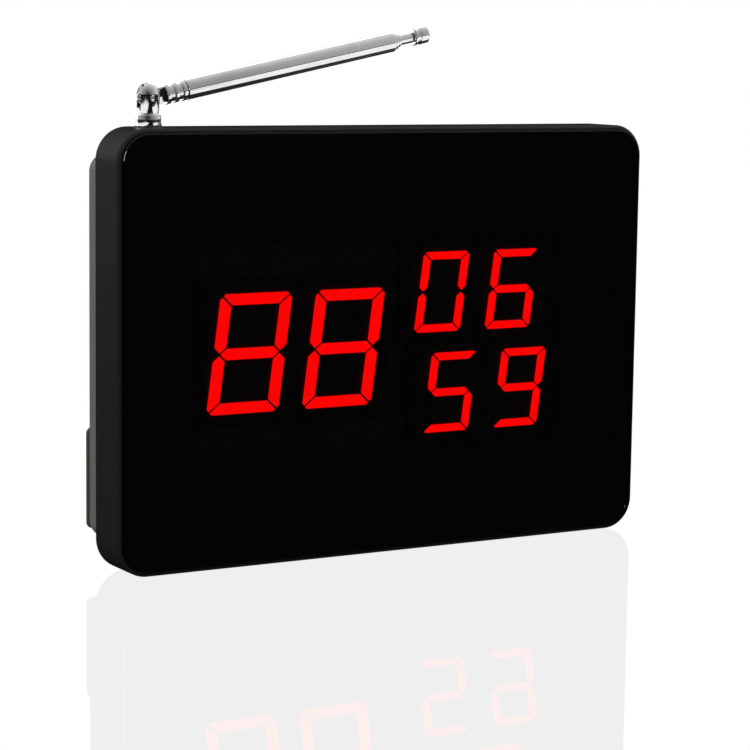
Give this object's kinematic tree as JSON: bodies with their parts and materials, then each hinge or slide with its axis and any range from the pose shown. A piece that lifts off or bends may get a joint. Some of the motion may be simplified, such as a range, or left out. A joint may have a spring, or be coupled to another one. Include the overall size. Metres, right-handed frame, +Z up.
{
  "type": "call display receiver",
  "caption": "Flat black call-display receiver with a smoked front, red seven-segment digits, a folding telescopic antenna, and rear keys and speaker.",
  "frame": {"origin": "middle of the flat underside that the case stands on", "axes": "+X to the right of someone facing the digits, +Y to the back, +Z up"},
  "size_m": [0.281, 0.0439, 0.2464],
  "materials": {
    "housing_black": "satin black moulded ABS with a very fine grain",
    "smoked_panel": "polished smoked acrylic sheet with a rounded edge",
    "foam_tape": "black double-sided foam tape",
    "cover_grey": "warm grey moulded ABS with a fine spark grain",
    "plate_dark": "dark grey moulded ABS with a fine grain",
    "digit_body": "black digit case",
    "red_segment": "red diffused epoxy, lit strokes glow pure red",
    "board_green": "green solder mask on glass-fibre board",
    "screw_steel": "zinc-plated steel",
    "antenna_chrome": "bright chrome plate on drawn brass tube",
    "contact_brass": "plain brass",
    "component_black": "black moulded component body",
    "key_grey": "warm grey moulded key cap",
    "cone_paper": "black pulp cone",
    "lead_black": "black PVC sleeve"
  },
  "bodies": {
    "receiver_case": {"front_housing": "housing_black", "front_window": "smoked_panel", "window_tape": "foam_tape", "rear_cover": "cover_grey", "key_plate": "plate_dark", "cover_screw_1": "screw_steel", "cover_screw_2": "screw_steel", "cover_screw_3": "screw_steel", "cover_screw_4": "screw_steel", "big_digit_1": "digit_body", "big_segments_1": "red_segment", "big_digit_2": "digit_body", "big_segments_2": "red_segment", "small_digit_1": "digit_body", "small_segments_1": "red_segment", "small_digit_2": "digit_body", "small_segments_2": "red_segment", "small_digit_3": "digit_body", "small_segments_3": "red_segment", "small_digit_4": "digit_body", "small_segments_4": "red_segment", "display_board": "board_green", "display_screw_1": "screw_steel", "display_screw_2": "screw_steel", "control_board": "board_green", "board_screw_1": "screw_steel", "tact_switch_1": "component_black", "board_screw_2": "screw_steel", "tact_switch_2": "component_black", "board_screw_3": "screw_steel", "tact_switch_3": "component_black", "board_screw_4": "screw_steel", "tact_switch_4": "component_black", "board_header": "component_black", "microcontroller": "component_black", "reservoir_capacitor": "component_black", "dc_jack": "component_black", "radio_module": "board_green", "dc_jack_pin": "contact_brass", "speaker_basket": "screw_steel", "speaker_magnet": "screw_steel", "speaker_cone": "cone_paper", "speaker_gasket": "foam_tape", "antenna_lead": "lead_black", "speaker_lead": "lead_black", "antenna_bushing": "antenna_chrome", "antenna_nut": "contact_brass", "antenna_lug": "contact_brass"},
    "antenna_swivel": {"antenna_stud": "antenna_chrome", "antenna_pin": "antenna_chrome"},
    "mast_base": {"antenna_knuckle": "antenna_chrome", "antenna_tube_1": "antenna_chrome"},
    "mast_second": {"antenna_tube_2": "antenna_chrome"},
    "mast_third": {"antenna_tube_3": "antenna_chrome"},
    "mast_tip": {"antenna_tube_4": "antenna_chrome", "antenna_cap": "antenna_chrome"},
    "function_key": {"key_function": "key_grey"},
    "up_key": {"key_up": "key_grey"},
    "down_key": {"key_down": "key_grey"},
    "enter_key": {"key_enter": "key_grey"}
  },
  "joints": [
    {"name": "antenna_turn", "type": "hinge", "parent": "receiver_case", "child": "antenna_swivel", "pos_m": [-0.1198, 0.00145, 0.2], "axis": [0, 0, 1], "continuous": true},
    {"name": "antenna_tilt", "type": "hinge", "parent": "antenna_swivel", "child": "mast_base", "pos_m": [-0.1198, 0.00145, 0.2128], "axis": [0, -1, 0], "range_deg": [-11.75, 78.25]},
    {"name": "mast_slide_outer", "type": "slide", "parent": "mast_base", "child": "mast_second", "axis": [0.979, 0, 0.2036], "range_m": [0, 0.09]},
    {"name": "mast_slide_middle", "type": "slide", "parent": "mast_second", "child": "mast_third", "axis": [0.979, 0, 0.2036], "range_m": [0, 0.09]},
    {"name": "mast_slide_inner", "type": "slide", "parent": "mast_third", "child": "mast_tip", "axis": [0.979, 0, 0.2036], "range_m": [0, 0.09]},
    {"name": "function_press", "type": "slide", "parent": "receiver_case", "child": "function_key", "axis": [0, -1, 0], "range_m": [0, 0.0006], "stiffness_N_per_m": 600},
    {"name": "up_press", "type": "slide", "parent": "receiver_case", "child": "up_key", "axis": [0, -1, 0], "range_m": [0, 0.0006], "stiffness_N_per_m": 600},
    {"name": "down_press", "type": "slide", "parent": "receiver_case", "child": "down_key", "axis": [0, -1, 0], "range_m": [0, 0.0006], "stiffness_N_per_m": 600},
    {"name": "enter_press", "type": "slide", "parent": "receiver_case", "child": "enter_key", "axis": [0, -1, 0], "range_m": [0, 0.0006], "stiffness_N_per_m": 600}
  ]
}
